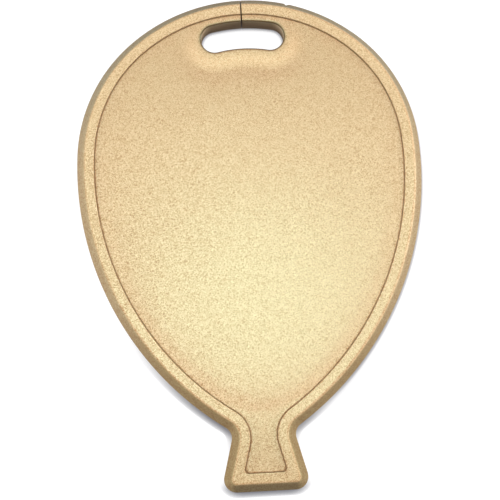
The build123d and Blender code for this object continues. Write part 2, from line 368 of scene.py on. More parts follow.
class Plan:
    """The plaque seen from above: rings that follow its outline, its body and its slot."""

    ALONG = 0.42 * MM  # step along a ring
    VALLEY = 12.0 * MM  # reach of the soft meeting of both flanks
    NICK_POINTS = 9
    NECK_FINENESS = 3.0  # times as fine as that step
    CORNER_FINENESS = 2.5
    PEG_SIDES = 32

    def __init__(self, sizes, slit):
        self.sizes = sizes
        self.slit = slit
        o, slot = sizes.outline, sizes.slot
        shoulder = (o.crown_radius - o.shoulder_radius) * bearing(o.crown_half_angle)
        flank = shoulder + (o.shoulder_radius - o.flank_radius) * bearing(o.shoulder_end_angle)
        neck_turn = acos((o.neck_width / 2 - flank[0]) / o.flank_radius)
        neck_drop = o.flank_radius * sin(neck_turn) - flank[1]
        tail_drop = neck_drop + o.tail_length
        self.crown = np.array([0.0, (tail_drop - o.crown_radius) / 2])
        self.shoulder = self.crown + shoulder
        self.flank = self.crown + flank
        self.neck = np.array([o.neck_width / 2, self.crown[1] - neck_drop])
        self.tail_y = self.crown[1] - tail_drop
        self.down = np.array([sin(o.tail_flare), -cos(o.tail_flare)])
        self.out = np.array([cos(o.tail_flare), sin(o.tail_flare)])
        offset = self.neck + o.neck_fillet * self.out - self.flank
        along = offset @ self.down
        reach = (o.flank_radius + o.neck_fillet) ** 2 - offset @ offset
        self.neck_centre = self.flank + offset + ((along**2 + reach) ** 0.5 - along) * self.down
        self.slit_half = slot.slit_width / 2
        self.slot_radius = o.crown_radius - slot.inset
        self.slot_half_angle = atan2((slot.span - slot.height) / 2, self.slot_radius)
        self.crown_turns = self.crown_bearings()
        self.shoulder_turns = self.turns(o.crown_half_angle, o.shoulder_end_angle, o.shoulder_radius)[1:]
        neck_meeting = bearing_of(self.neck_centre - self.flank)
        self.flank_turns = self.turns(o.shoulder_end_angle, neck_meeting, o.flank_radius)[1:]
        neck_end = 2 * pi + bearing_of(-self.out)
        self.neck_turns = self.turns(neck_meeting + pi, neck_end, self.NECK_FINENESS * o.neck_fillet)[1:]

    def turns(self, start, end, radius):
        """Even bearings along an arc."""
        return np.linspace(start, end, 2 + ceil(abs(end - start) * radius / self.ALONG))

    def crown_bearings(self):
        """Bearings along the right half of the crown, closer together at the gate mark."""
        o = self.sizes.outline
        half_nick = o.nick_width / 2 / o.crown_radius
        nick = o.nick_bearing + np.linspace(-half_nick, half_nick, self.NICK_POINTS)
        first = 2 * self.slit_half / o.crown_radius
        before = self.turns(first, nick[0], o.crown_radius)[:-1]
        after = self.turns(nick[-1], o.crown_half_angle, o.crown_radius)[1:]
        return np.concatenate([before, nick, after])

    def slit_reach(self, inset, slit):
        """Half of the slit's width at an inset, from its widths at the crown's edge and at the slot."""
        mouth, end = slit
        slot = self.sizes.slot
        depth = np.clip(inset / (slot.inset - slot.height / 2), 0.0, 1.0)
        return (mouth + (end - mouth) * depth**2) / 2

    def ring(self, inset):
        """Points at an even inset, from the slit's right wall round to its left wall."""
        o = self.sizes.outline
        start = asin(self.slit_reach(inset, self.slit) / (o.crown_radius - inset))
        crown_turns = np.concatenate([[start], self.crown_turns])
        mark = 1 - abs(crown_turns - o.nick_bearing) * o.crown_radius / (o.nick_width / 2)
        nicked = np.maximum(inset, o.nick_depth * np.maximum(mark, 0))
        crown = arc(self.crown, (o.crown_radius - nicked)[:, None], crown_turns)
        plain_crown = arc(self.crown, o.crown_radius - inset, crown_turns)
        corner = max(o.tail_corner - inset, o.field_corner)
        depth = inset + corner
        drop = (self.neck[1] - depth * self.out[1] - self.tail_y - depth) / -self.down[1]
        corner_centre = self.neck + drop * self.down - depth * self.out
        corner_turns = self.turns(bearing_of(self.out), pi, self.CORNER_FINENESS * o.tail_corner)[1:]
        flare_start = self.neck_centre - (o.neck_fillet + inset) * self.out
        flare_end = corner_centre + corner * self.out
        bottom = np.array([0.0, self.tail_y + inset])
        bottom_start = corner_centre + np.array([0.0, -corner])
        side = np.concatenate([
            arc(self.shoulder, o.shoulder_radius - inset, self.shoulder_turns),
            arc(self.flank, o.flank_radius - inset, self.flank_turns),
            arc(self.neck_centre, o.neck_fillet + inset, self.neck_turns),
            self.straight(flare_start, flare_end, o.tail_length)[1:],
            arc(corner_centre, corner, corner_turns),
            self.straight(bottom_start, bottom, o.neck_width / 2)[1:-1],
        ])
        left = np.concatenate([plain_crown, side])[::-1] * MIRROR
        return np.concatenate([crown, side, [bottom], left])

    def straight(self, start, end, span):
        """Even points along a line."""
        return start + np.linspace(0, 1, 1 + ceil(span / self.ALONG))[:, None] * (end - start)

    def body_ring(self, inset, spacing):
        """Points inside the balloon's body without its tail, at an even inset."""
        o = self.sizes.outline
        meeting = pi / 2 + acos(-self.flank[0] / (o.flank_radius - inset))
        arcs = [
            (self.crown, o.crown_radius, 0.0, o.crown_half_angle),
            (self.shoulder, o.shoulder_radius, o.crown_half_angle, o.shoulder_end_angle),
            (self.flank, o.flank_radius, o.shoulder_end_angle, meeting),
        ]
        runs = []
        for centre, radius, start, end in arcs:
            count = 1 + ceil((end - start) * (radius - inset) / spacing)
            runs.append(arc(centre, radius - inset, np.linspace(start, end, count)[:-1]))
        right = np.concatenate(runs)
        return np.concatenate([right, right[1:] * MIRROR])

    def body_inset(self, points):
        """How far points lie inside the balloon's body without its tail."""
        o = self.sizes.outline
        right = to_right(points)
        from_crown, from_shoulder, from_flank = (right - c for c in (self.crown, self.shoulder, self.flank))
        in_crown = np.arctan2(from_crown[:, 0], from_crown[:, 1]) <= o.crown_half_angle
        in_shoulder = np.abs(np.arctan2(from_shoulder[:, 0], from_shoulder[:, 1])) <= o.shoulder_end_angle
        crown = o.crown_radius - np.linalg.norm(from_crown, axis=1)
        shoulder = o.shoulder_radius - np.linalg.norm(from_shoulder, axis=1)
        flank = o.flank_radius - np.linalg.norm(from_flank, axis=1)
        far_flank = o.flank_radius - np.linalg.norm(right * MIRROR - self.flank, axis=1)
        near = np.maximum(1 - (far_flank - flank) / self.VALLEY, 0)
        flank = flank - near**3 * self.VALLEY / 6
        return np.where(in_crown, crown, np.where(in_shoulder, shoulder, flank))

    def slot_ring(self, gap):
        """Points at an even gap round the slot, from the slit's right wall round to its left wall."""
        half = self.sizes.slot.height / 2 + gap
        spread = self.slot_half_angle
        edge = self.sizes.outline.crown_radius - self.slot_radius - half
        start = asin(self.slit_reach(edge, self.slit) / (self.slot_radius + half))
        first = 2 * self.slit_half / self.slot_radius
        upper_turns = np.concatenate([[start], self.turns(first, spread, self.slot_radius)])
        cap_centre = arc(self.crown, self.slot_radius, spread)
        cap_turns = self.turns(spread, spread + pi, self.sizes.slot.height)[1:]
        lower_turns = self.turns(spread, 0.0, self.slot_radius)[1:-1]
        right = np.concatenate([
            arc(self.crown, self.slot_radius + half, upper_turns),
            arc(cap_centre, half, cap_turns),
            arc(self.crown, self.slot_radius - half, lower_turns),
        ])
        bottom = self.crown + np.array([0.0, self.slot_radius - half])
        return np.concatenate([right, [bottom], right[::-1] * MIRROR])

    def slot_gap(self, points):
        """How far points lie outside the slot's edge."""
        right = to_right(points)
        from_crown = right - self.crown
        turn = np.arctan2(from_crown[:, 0], from_crown[:, 1])
        across = np.abs(np.linalg.norm(from_crown, axis=1) - self.slot_radius)
        cap = np.linalg.norm(from_crown - self.slot_radius * bearing(self.slot_half_angle), axis=1)
        return np.where(turn <= self.slot_half_angle, across, cap) - self.sizes.slot.height / 2

    def pocket(self):
        """The ballast pocket's loop."""
        o, inside = self.sizes.outline, self.sizes.inside
        round_off = inside.pocket_corner
        depth = inside.pocket_inset + round_off
        slot_low = self.crown[1] + self.slot_radius * cos(self.slot_half_angle) - self.sizes.slot.height / 2
        top = slot_low - inside.slot_wall - round_off
        bottom = self.neck[1] + inside.neck_wall + round_off
        shoulder_radius = o.shoulder_radius - depth
        flank_radius = o.flank_radius - depth
        top_turn = acos((top - self.shoulder[1]) / shoulder_radius)
        bottom_turn = acos((bottom - self.flank[1]) / flank_radius)
        top_corner = arc(self.shoulder, shoulder_radius, top_turn)
        bottom_corner = arc(self.flank, flank_radius, bottom_turn)
        shoulder_turns = self.turns(top_turn, o.shoulder_end_angle, o.shoulder_radius)[1:]
        flank_turns = self.turns(o.shoulder_end_angle, bottom_turn, o.flank_radius)[1:]
        right = np.concatenate([
            arc(top_corner, round_off, self.turns(0.0, top_turn, round_off)),
            arc(self.shoulder, shoulder_radius + round_off, shoulder_turns),
            arc(self.flank, flank_radius + round_off, flank_turns),
            arc(bottom_corner, round_off, self.turns(bottom_turn, pi, round_off)[1:]),
        ])
        return np.concatenate([right, right[::-1] * MIRROR])

    def peg_loops(self, radius):
        """One loop for each peg or socket."""
        inside, slot = self.sizes.inside, self.sizes.slot
        reach = slot.span / 2 + inside.peg_gap
        head = self.crown[1] + self.slot_radius * cos(atan2(reach, self.slot_radius))
        places = [(reach, head), (-reach, head), (0.0, self.tail_y + inside.tail_peg_rise)]
        circle = radius * bearing(np.linspace(0, 2 * pi, self.PEG_SIDES + 1)[:-1])
        return [np.array(place) + circle for place in places]


class HalfMesh:
    """Gathers one moulding's points and faces in plan. The node tree gives the heights."""

    def __init__(self):
        self.points = []
        self.insets = []
        self.skin = []
        self.levels = []
        self.faces = []
        self.outside_faces = 0

    def add(self, points, insets, skin=1.0, level=0.0):
        """Adds points and returns their numbers."""
        first = len(self.points)
        self.points.extend(tuple(p) for p in points)
        self.insets.extend(np.broadcast_to(insets, len(points)))
        self.skin.extend([skin] * len(points))
        self.levels.extend([level] * len(points))
        return list(range(first, first + len(points)))

    def strip(self, outer, inner):
        """Faces between two rows of as many points."""
        for i in range(len(outer) - 1):
            self.faces.append((outer[i], outer[i + 1], inner[i + 1], inner[i]))


OVER_HULL = 0
MERGE_MILLIMETRES = 1e-7


def triangulate(points, edges):
    """Triangles of a plan with kept edges, over its convex hull."""
    coords = [Vector((p[0] / MM, p[1] / MM)) for p in points]
    _, _, faces, sources, _, _ = delaunay_2d_cdt(coords, edges, [], OVER_HULL, MERGE_MILLIMETRES)
    origin = [ids[0] for ids in sources]
    return np.array([[origin[i] for i in face] for face in faces])


def chain(ids, closed=False):
    """Edges along a row of numbers."""
    pairs = list(zip(ids, ids[1:]))
    return pairs + [(ids[-1], ids[0])] if closed else pairs


RING_STEPS = {"ease": 6, "bevel": 3, "edge": 9, "rim": 4, "line": 17}
SLOT_LIP_STEPS = 6
SLOT_SKIRT = 0.19 * MM
LAND_END = 0.53 * MM
SLOT_STEP = 0.42 * MM
SLOT_ROWS_BEYOND = 3.0 * MM
CUSHION_STEP = 0.5 * MM
CUSHION_ALONG = 0.75 * MM
MIDDLE_STEP = 1.6 * MM
MIDDLE_REACH = slice(-40, 41)  # in such steps
CLEAR_OF_ROWS = 0.3 * MM
INSET_DIGITS = 7
SLIT_SLACK = 1.001


def ring_insets(sizes, joint_insets):
    """Insets of the rings from the seam to just inside the line."""
    o, s = sizes.outline, sizes.section
    field = s.bevel_run + s.rim_width
    line = s.step_width / 2 + s.line_width
    zones = [
        np.linspace(s.seam_ease, o.nick_depth, RING_STEPS["ease"]),
        np.linspace(o.nick_depth, s.bevel_run - s.bevel_blend, RING_STEPS["bevel"]),
        np.linspace(s.bevel_run - s.bevel_blend / 2, s.bevel_run + s.bevel_blend / 2, RING_STEPS["edge"]),
        np.linspace(s.bevel_run + s.bevel_blend, field - line, RING_STEPS["rim"]),
        np.linspace(field - line, field + line, RING_STEPS["line"]),
        [field + LAND_END],
        [s.seam_ease / 2],
        joint_insets,
    ]
    return np.unique(np.round(np.concatenate(zones), INSET_DIGITS))


def half_plan(plan, joint_clearance, levels):
    """One moulding in plan: its skin, the walls of slot and slit, and its inner side."""
    sizes = plan.sizes
    inside = sizes.inside
    joint = [
        inside.tongue_inset - joint_clearance,
        inside.tongue_inset + inside.tongue_width + joint_clearance,
    ]
    mesh = HalfMesh()
    insets = ring_insets(sizes, joint)
    rings = [mesh.add(plan.ring(d), d) for d in insets]
    for outer, inner in zip(rings, rings[1:]):
        mesh.strip(outer, inner)
    lip = sizes.slot.lip
    gaps = np.append(lip * (1 - np.cos(np.linspace(0, pi / 2, SLOT_LIP_STEPS))), lip + SLOT_SKIRT)
    deep = insets[-1]
    slot_rings = [mesh.add(plan.slot_ring(g), deep) for g in gaps]
    for outer, inner in zip(slot_rings, slot_rings[1:]):
        mesh.strip(inner, outer)
    skin_middle(plan, mesh, rings[-1], slot_rings[-1], deep)
    mesh.outside_faces = len(mesh.faces)
    right_wall = [r[0] for r in rings] + [r[0] for r in slot_rings[:0:-1]]
    left_wall = [r[-1] for r in slot_rings[1:]] + [r[-1] for r in rings[::-1]]
    inner_side(plan, mesh, insets, joint, right_wall + slot_rings[0] + left_wall, rings[0], levels)
    return mesh


def skin_middle(plan, mesh, outer, around_slot, deep):
    """Fills the face between the last ring and the slot's skirt."""
    border = outer + around_slot[::-1]
    loop = np.array([mesh.points[i] for i in border])
    cushion_end = deep + plan.sizes.section.cushion_width
    row_insets = np.arange(deep + CUSHION_STEP, cushion_end + CUSHION_STEP, CUSHION_STEP)
    rows = [plan.body_ring(d, CUSHION_ALONG) for d in row_insets]
    grid = np.mgrid[MIDDLE_REACH, MIDDLE_REACH].reshape(2, -1).T * MIDDLE_STEP
    grid[:, 0] += np.where(np.round(grid[:, 1] / MIDDLE_STEP) % 2 == 0, MIDDLE_STEP / 2, 0.0)
    body = plan.body_inset(grid)
    rows.append(grid[(body > cushion_end + CUSHION_STEP) | (body < deep + CUSHION_STEP)])
    loose = np.concatenate(rows)
    slot = plan.sizes.slot
    start, end = slot.lip + SLOT_SKIRT + SLOT_STEP, slot.collar_width + SLOT_ROWS_BEYOND
    round_slot = [plan.slot_ring(gap) for gap in np.arange(start, end, SLOT_STEP)]
    loose = np.concatenate([loose[plan.slot_gap(loose) > end], *round_slot])
    loose = loose[inside_loop(loose, loop)]
    distance = np.min(np.linalg.norm(loose[:, None] - loop[None], axis=2), axis=1)
    loose = loose[distance > CLEAR_OF_ROWS]
    loose_ids = mesh.add(loose, deep)
    ids = border + loose_ids
    points = np.concatenate([loop, loose])
    triangles = triangulate(points, chain(list(range(len(border))), closed=True))
    centres = points[triangles].mean(1)
    for triangle in triangles[inside_loop(centres, loop)]:
        mesh.faces.append(tuple(ids[i] for i in triangle))


def seam_border(plan, mesh, wall):
    """The seam face's border, how many of its points lie on the outline, and which lie at the wall's."""
    sizes = plan.sizes
    edge = plan.ring(sizes.section.seam_ease)
    # The wall's ends lie outside the seam's face. The points next to them are the outline's first and last.
    wall_points = np.array([mesh.points[i] for i in wall])
    inward = len(wall) - 3
    border = np.concatenate([edge, wall_points[inward:1:-1]])
    by_slit = abs(border[:, 0]) < plan.slit_half * SLIT_SLACK
    on_slit = by_slit & (border[:, 1] > plan.crown[1] + plan.slot_radius)
    depths = sizes.outline.crown_radius - np.linalg.norm(border[on_slit] - plan.crown, axis=1)
    at_seam = sizes.slot.slit_mouth, sizes.slot.slit_width
    border[on_slit, 0] = np.sign(border[on_slit, 0]) * plan.slit_reach(depths, at_seam)
    wall_ids = [None, 0] + [len(edge) + inward - i for i in range(2, inward + 1)] + [len(edge) - 1, None]
    return border, len(edge), wall_ids


def seam_face(plan, insets, joint, border, wall_ids, levels):
    """The seam's face with pocket, joint and pegs: its points, its triangles and their heights."""
    inside = plan.sizes.inside
    edges = chain(list(range(len(border))), closed=True)
    ring_of = {round(d, INSET_DIGITS): k for k, d in enumerate(insets)}
    rows = [border]
    count = len(border)
    joint_loops = [plan.ring(inset) for inset in joint]
    for inset, loop in zip(joint, joint_loops):
        k = ring_of[round(inset, INSET_DIGITS)]
        edges += chain([wall_ids[k], *range(count, count + len(loop) - 2), wall_ids[-1 - k]])
        rows.append(loop[1:-1])
        count += len(loop) - 2
    peg_radius = inside.peg_radius + max(0.0, inside.tongue_inset - joint[0])
    closed = [("pocket", plan.pocket())] + [("peg", loop) for loop in plan.peg_loops(peg_radius)]
    for _, loop in closed:
        edges += chain(list(range(count, count + len(loop))), closed=True)
        rows.append(loop)
        count += len(loop)
    points = np.concatenate(rows)
    triangles = triangulate(points, edges)
    centres = points[triangles].mean(1)
    kept = inside_loop(centres, border)
    triangles, centres = triangles[kept], centres[kept]
    heights = np.full(len(triangles), levels["seam"])
    in_outer, in_inner = (inside_loop(centres, loop) for loop in joint_loops)
    heights[in_outer & ~in_inner] = levels["joint"]
    for name, loop in closed:
        heights[inside_loop(centres, loop)] = levels[name]
    return points, triangles.tolist(), heights.tolist()


def inner_side(plan, mesh, insets, joint, wall, seam_ring, levels):
    """Closes a moulding with the seam's face and the walls of slot and slit."""
    border, outline_count, wall_ids = seam_border(plan, mesh, wall)
    points, triangles, triangle_heights = seam_face(plan, insets, joint, border, wall_ids, levels)
    placed = {}

    def inner(i, height):
        """The mesh's point at one place of the inner side and one height."""
        key = (i, height)
        if key not in placed:
            placed[key] = mesh.add([points[i]], 0.0, 0.0, height)[0]
        return placed[key]

    sides = {}
    for triangle, height in zip(triangles, triangle_heights):
        mesh.faces.append(tuple(inner(i, height) for i in reversed(triangle)))
        for a, b in chain(triangle, closed=True):
            sides.setdefault((min(a, b), max(a, b)), []).append(height)
    for (a, b), heights in sides.items():
        if len(heights) == 2 and heights[0] != heights[1]:
            high, low = max(heights), min(heights)
            mesh.faces.append((inner(a, high), inner(b, high), inner(b, low), inner(a, low)))
    columns = {None: []}
    for i, height in placed:
        columns.setdefault(i, []).append(height)
    seam_row = [inner(i, levels["seam"]) for i in range(outline_count)]
    mesh.strip(seam_row, seam_ring)
    outwards = levels["outwards"]
    for k in range(len(wall) - 1):
        a, b = wall_ids[k], wall_ids[k + 1]
        height = levels["seam"]
        if a is not None and b is not None:
            height = sides[(min(a, b), max(a, b))][0]
        down, up = ([h for h in columns[i] if (h - height) * outwards >= 0] for i in (b, a))
        down.sort(reverse=outwards > 0)
        up.sort(reverse=outwards < 0)
        column = [inner(b, h) for h in down] + [inner(a, h) for h in up]
        mesh.faces.append((wall[k], wall[k + 1], *column))


SWELL_POWER = 3.0
SWELL_BLEND = 0.3
# The sloping edge's painted shade and its roughness shift right by this share, so the left edge is shaded
# wider.
SLOPING_SHIFT = 0.005  # how far the paint's edge moves to the right, as a share of the place across
SLOPING_FADE = (-1 / 3, 1 / 4)  # of the bevel's blend
LIP_SHADE_SPAN = (0.4, 1.3)  # of the lip's size
COLLAR_LIGHT_SPAN = (0.5, 1.2)  # of the collar's width


def moulded_half_tree(sizes):
    """The Geometry Nodes tree that raises a moulding from its plan, with an input for each size."""
    tree = bpy.data.node_groups.new("Moulded half", "GeometryNodeTree")
    inputs = {"Plan": "Geometry", **dict.fromkeys(sizes, "Float"), "Paint": "Material"}
    for name, kind in inputs.items():
        tree.interface.new_socket(name, in_out="INPUT", socket_type=f"NodeSocket{kind}")
    tree.interface.new_socket("Moulding", in_out="OUTPUT", socket_type="NodeSocketGeometry")
    g = Graph(tree)
    entry = tree.nodes.new("NodeGroupInput")
    size = {socket.name: Value(g, socket) for socket in entry.outputs}

    def stored(name):
        """A number that the plan holds for each point."""
        return g.add("GeometryNodeInputNamedAttribute", {"data_type": "FLOAT"}, {"Name": name})

    inset, body, gap, skin = (stored(name) for name in ("inset", "body_inset", "slot_gap", "skin"))
    bevel, blend, field_inset = size["Bevel run"], size["Bevel blend"], size["Field inset"]
    cushion_start, cushion_width = size["Cushion start"], size["Cushion width"]
    collar_width, lip_size = size["Collar width"], size["Slot lip"]
    slope = inset * size["Height"] / bevel
    rim = g.math("SMOOTH_MIN", slope, size["Height"], blend)
    half_step = size["Step width"] / 2
    step = g.ease(inset, field_inset - half_step, field_inset + half_step)
    foot = field_inset + half_step / 2
    off_line = g.math("ABSOLUTE", inset - foot) / (size["Line width"] / 2)
    line = 1 - g.ease(off_line, 0.0, 1.0)
    body_left = 1 - g.share(body, cushion_start, cushion_start + cushion_width)
    slot_left = 1 - g.share(gap, collar_width, collar_width + cushion_width)
    swells = [1 - g.math("POWER", left, SWELL_POWER) for left in (body_left, slot_left)]
    swell = g.math("SMOOTH_MIN", *swells, SWELL_BLEND)
    cushion = size["Cushion rise"] * g.math("MAXIMUM", swell, 0.0)
    dip = size["Slot dip"] * slot_left * slot_left
    collar = size["Collar rise"] * (1 - g.ease(gap, 0.0, collar_width)) - dip
    lip_left = g.math("MAXIMUM", lip_size - gap, 0.0)
    lip_square = lip_size * lip_size - lip_left * lip_left
    lip = lip_size - g.math("SQRT", g.math("MAXIMUM", lip_square, 0.0))
    field = size["Step depth"] - cushion - collar
    relief = rim - field * step - size["Line depth"] * line - lip
    skin_height = size["Seam height"] + size["Outward"] * relief
    height = skin * skin_height + (1 - skin) * stored("level")
    place = g.add("GeometryNodeInputPosition")
    across, along = g.axis(place, "X"), g.axis(place, "Y")
    lifted = g.add("ShaderNodeCombineXYZ", sockets={"X": across, "Y": along, "Z": height})
    moulding = g.add("GeometryNodeSetPosition", sockets={"Geometry": size["Plan"], "Position": lifted})
    shifted_inset = inset + across * SLOPING_SHIFT
    by_slot = step * (1 - g.ease(gap, *(collar_width * part for part in COLLAR_LIGHT_SPAN)))
    below = g.ease(body, size["Slot inset"] - collar_width, size["Slot inset"] + collar_width / 2)
    off_rim = g.ease(inset, bevel, field_inset)
    band = 1 - g.ease(body, field_inset, field_inset + cushion_width / 2)
    # Masks for the paint. Most of them place painted highlights and painted shade: slot, rim, band, line, lip
    # and sloping edge.
    for_paint = {
        "line": line,
        "lip": 1 - g.ease(gap, *(lip_size * part for part in LIP_SHADE_SPAN)),
        "sloping": 1 - g.ease(shifted_inset, *(bevel + blend * part for part in SLOPING_FADE)),
        "under_slot": by_slot * below * g.ease(gap, 0.0, collar_width / 2),
        "over_slot": by_slot * (1 - below),
        "rim": g.ease(inset, bevel - blend, bevel) * (1 - off_rim),
        "field": step,
        "band": step * band,
    }
    on_points = {"data_type": "FLOAT", "domain": "POINT"}
    for name, value in for_paint.items():
        sockets = {"Geometry": moulding, "Name": name, "Value": skin * value}
        moulding = g.add("GeometryNodeStoreNamedAttribute", on_points, sockets)
    smooth = g.add("GeometryNodeSetShadeSmooth", sockets={"Geometry": moulding})
    real = g.add("GeometryNodeRealizeInstances", sockets={"Geometry": smooth})
    painted = g.add("GeometryNodeSetMaterial", sockets={"Geometry": real, "Material": size["Paint"]})
    leave = tree.nodes.new("NodeGroupOutput")
    g.fill(leave, {"Moulding": painted})
    return tree


SHARP_ANGLE = radians(32)
PLAN_NUMBERS = ("inset", "skin", "level", "body_inset", "slot_gap")


def new_object(name, data):
    """A new object in the scene."""
    made = bpy.data.objects.new(name, data)
    bpy.context.scene.collection.objects.link(made)
    return made


def plan_object(name, plan, half):
    """A moulding's plan as an object, with the numbers that the tree reads."""
    data = bpy.data.meshes.new(name)
    data.from_pydata([(x, y, 0.0) for x, y in half.points], [], half.faces)
    flat = np.array(half.points)
    numbers = half.insets, half.skin, half.levels, plan.body_inset(flat), plan.slot_gap(flat)
    for key, values in zip(PLAN_NUMBERS, numbers):
        attribute = data.attributes.new(key, "FLOAT", "POINT")
        attribute.data.foreach_set("value", np.asarray(values, np.float32))
    bare = data.attributes.new("bare", "FLOAT", "FACE")
    bare.data.foreach_set("value", np.arange(len(half.faces)) >= half.outside_faces)
    return new_object(name, data)


def bake_nodes(made):
    """Turns an object's evaluated nodes into its plain mesh, with its faces outwards."""
    graph = bpy.context.evaluated_depsgraph_get()
    evaluated = made.evaluated_get(graph)
    baked = bpy.data.meshes.new_from_object(evaluated, preserve_all_data_layers=True, depsgraph=graph)
    made.modifiers.clear()
    made.data = baked
    for name in PLAN_NUMBERS:
        baked.attributes.remove(baked.attributes[name])
    work = bmesh.new()
    work.from_mesh(baked)
    bmesh.ops.recalc_face_normals(work, faces=work.faces)
    work.to_mesh(baked)
    work.free()
    baked.set_sharp_from_angle(angle=SHARP_ANGLE)


def build_half(name, node, clearance, slit, levels, changes):
    """Builds one moulding in place of its CAD node."""
    sizes = bpy.context.scene.balloon_weight
    section, slot = sizes.section, sizes.slot
    plan = Plan(sizes, slit)
    made = plan_object(name, plan, half_plan(plan, clearance, levels))
    field = section.bevel_run + section.rim_width
    values = {
        "Seam height": levels["seam"], "Outward": levels["outwards"], "Height": levels["height"],
        "Bevel run": section.bevel_run, "Bevel blend": section.bevel_blend, "Field inset": field,
        "Step depth": section.step_depth, "Step width": section.step_width,
        "Line depth": section.line_depth, "Line width": section.line_width,
        "Cushion start": field + section.cushion_land, "Cushion width": section.cushion_width,
        "Cushion rise": section.cushion_rise, "Collar width": slot.collar_width,
        "Collar rise": slot.collar_rise, "Slot inset": slot.inset, "Slot dip": slot.dip, "Slot lip": slot.lip,
    }
    values.update(changes)
    tree = bpy.data.node_groups.get("Moulded half") or moulded_half_tree(values)
    values["Paint"] = filled_material("sprayed_gold", gold_paint)
    modifier = made.modifiers.new("Moulded half", "NODES")
    modifier.node_group = tree
    for item in tree.interface.items_tree:
        if item.name in values:
            modifier[item.identifier] = values[item.name]
    bake_nodes(made)
    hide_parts(node)
    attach(made, "root")


def filled_material(name, look):
    """The material of that name. When it is first asked for, a look fills its shader's sockets."""
    material = bpy.data.materials.get(name)
    if material is None:
        material = bpy.data.materials.new(name)
        material.use_nodes = True
        g = Graph(material.node_tree)
        g.fill(g.node("BSDF_PRINCIPLED"), look(g))
    return material


def rgba(values):
    """A colour with full cover."""
    return (*values, 1.0)


# Places along the weight where a change in the paint, most of it painted light or shade, starts and where it
# is complete.
CROWN_END = (10.0 * MM, 27.0 * MM)
TAIL_END = (-7.0 * MM, -22.0 * MM)
BAND_START = (14.0 * MM, 0.0)
BAND_END = (-22.0 * MM, -28.0 * MM)
CROWN_EVEN = (4.0 * MM, 28.0 * MM)
CROWN_DULL = (12.0 * MM, 30.0 * MM)
TAIL_DULL = (-24.0 * MM, -33.0 * MM)

DARK_FLAKES = (0.0, 0.5)
PALE_FLAKES = (0.55, 1.0)
CLOUDS = (0.3, 0.7)
CLOUD_SCALE, CLOUD_DETAIL = 90.0, 3.0
CLOUD_EVENS, CROWN_EVENS = 0.12, 0.3
LINE_COVER, LIP_COVER = 0.68, 0.9
FLAKE_TILT = 0.04
PEEL_SCALE, PEEL_DETAIL = 5000.0, 1.0
PEEL_STRENGTH, PEEL_DEPTH = 0.15, 0.03 * MM
FLAKE_ROUGHNESS, EDGE_ROUGHNESS, BARE_ROUGHNESS = 0.06, 0.45, 0.85
PAINT_SPECULAR = 0.44
KEPT_FOR_PAINT = ("line", "lip", "bare", "sloping", "under_slot", "over_slot", "rim", "field", "band")


